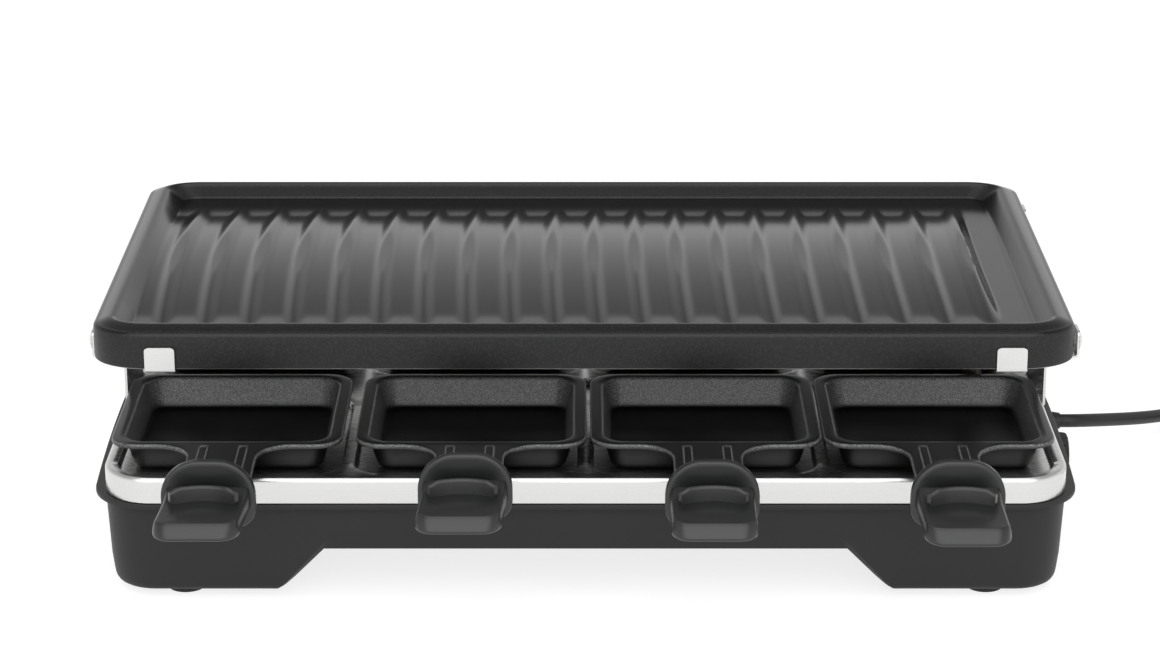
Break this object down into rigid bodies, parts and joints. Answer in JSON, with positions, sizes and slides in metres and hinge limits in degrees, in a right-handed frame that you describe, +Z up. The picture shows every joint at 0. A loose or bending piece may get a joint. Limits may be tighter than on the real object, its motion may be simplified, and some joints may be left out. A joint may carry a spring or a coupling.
{
  "type": "tabletop raclette grill",
  "caption": "Tabletop raclette grill with a ribbed cast grill plate on steel carriers, small handled pans on both long sides and a dark base",
  "frame": {"origin": "on the table plane, under the middle of the grill's bounding box without its mains lead", "axes": "X along the long side with the knob at +X, -Y towards the front of the picture, +Z up"},
  "size_m": [0.6997, 0.462, 0.1354],
  "materials": {
    "base_plastic": "fine textured",
    "handle_plastic": "fine textured",
    "cast_coating": "cast, with a dark non-stick coating",
    "pan_coating": "smooth dark non-stick coating",
    "steel": "brushed",
    "element_steel": "heat tinted",
    "terminal_plastic": "matte",
    "thermostat_plastic": "matte",
    "foot_rubber": "matte",
    "cord_plastic": "satin",
    "pin_brass": "plated",
    "wire_brown": "smooth",
    "wire_blue": "smooth",
    "wire_green": "smooth"
  },
  "bodies": {
    "base": {"base_housing": "base_plastic", "pan_tray": "steel", "carrier_right": "steel", "carrier_left": "steel", "carrier_screw_right": "steel", "carrier_screw_left": "steel", "tray_screw": "steel", "heating_element": "element_steel", "element_shelf_right": "steel", "element_shelf_left": "steel", "terminal_block": "terminal_plastic", "thermostat": "thermostat_plastic", "wire_supply": "wire_brown", "wire_switched": "wire_brown", "wire_neutral": "wire_blue", "wire_earth": "wire_green", "foot_front_left": "foot_rubber", "foot_front_right": "foot_rubber", "foot_rear_right": "foot_rubber", "foot_rear_left": "foot_rubber", "cord_relief": "cord_plastic", "cord_lead": "cord_plastic", "cord_coil": "cord_plastic", "cord_tail": "cord_plastic", "plug_body": "cord_plastic", "plug_pin_left": "pin_brass", "plug_pin_right": "pin_brass"},
    "grill_plate": {"grill_plate": "cast_coating"},
    "knob": {"temperature_knob": "base_plastic", "knob_shaft": "steel"},
    "pan_front_1": {"pan_front_1": "pan_coating", "handle_front_1": "handle_plastic"},
    "pan_front_2": {"pan_front_2": "pan_coating", "handle_front_2": "handle_plastic"},
    "pan_front_3": {"pan_front_3": "pan_coating", "handle_front_3": "handle_plastic"},
    "pan_front_4": {"pan_front_4": "pan_coating", "handle_front_4": "handle_plastic"},
    "pan_rear_1": {"pan_rear_1": "pan_coating", "handle_rear_1": "handle_plastic"},
    "pan_rear_2": {"pan_rear_2": "pan_coating", "handle_rear_2": "handle_plastic"},
    "pan_rear_3": {"pan_rear_3": "pan_coating", "handle_rear_3": "handle_plastic"},
    "pan_rear_4": {"pan_rear_4": "pan_coating", "handle_rear_4": "handle_plastic"}
  },
  "joints": [
    {"name": "plate_lift", "type": "slide", "parent": "base", "child": "grill_plate", "axis": [0, 0, 1], "range_m": [0, 0.08]},
    {"name": "knob_turn", "type": "hinge", "parent": "base", "child": "knob", "pos_m": [0.2212, 0, 0.025], "axis": [1, 0, 0], "range_deg": [0, 270]},
    {"name": "pan_front_1_out", "type": "slide", "parent": "base", "child": "pan_front_1", "axis": [0, -0.9659, 0.2588], "range_m": [0, 0.15]},
    {"name": "pan_front_2_out", "type": "slide", "parent": "base", "child": "pan_front_2", "axis": [0, -0.9659, 0.2588], "range_m": [0, 0.15]},
    {"name": "pan_front_3_out", "type": "slide", "parent": "base", "child": "pan_front_3", "axis": [0, -0.9659, 0.2588], "range_m": [0, 0.15]},
    {"name": "pan_front_4_out", "type": "slide", "parent": "base", "child": "pan_front_4", "axis": [0, -0.9659, 0.2588], "range_m": [0, 0.15]},
    {"name": "pan_rear_1_out", "type": "slide", "parent": "base", "child": "pan_rear_1", "axis": [0, 0.9659, 0.2588], "range_m": [0, 0.15]},
    {"name": "pan_rear_2_out", "type": "slide", "parent": "base", "child": "pan_rear_2", "axis": [0, 0.9659, 0.2588], "range_m": [0, 0.15]},
    {"name": "pan_rear_3_out", "type": "slide", "parent": "base", "child": "pan_rear_3", "axis": [0, 0.9659, 0.2588], "range_m": [0, 0.15]},
    {"name": "pan_rear_4_out", "type": "slide", "parent": "base", "child": "pan_rear_4", "axis": [0, 0.9659, 0.2588], "range_m": [0, 0.15]}
  ]
}
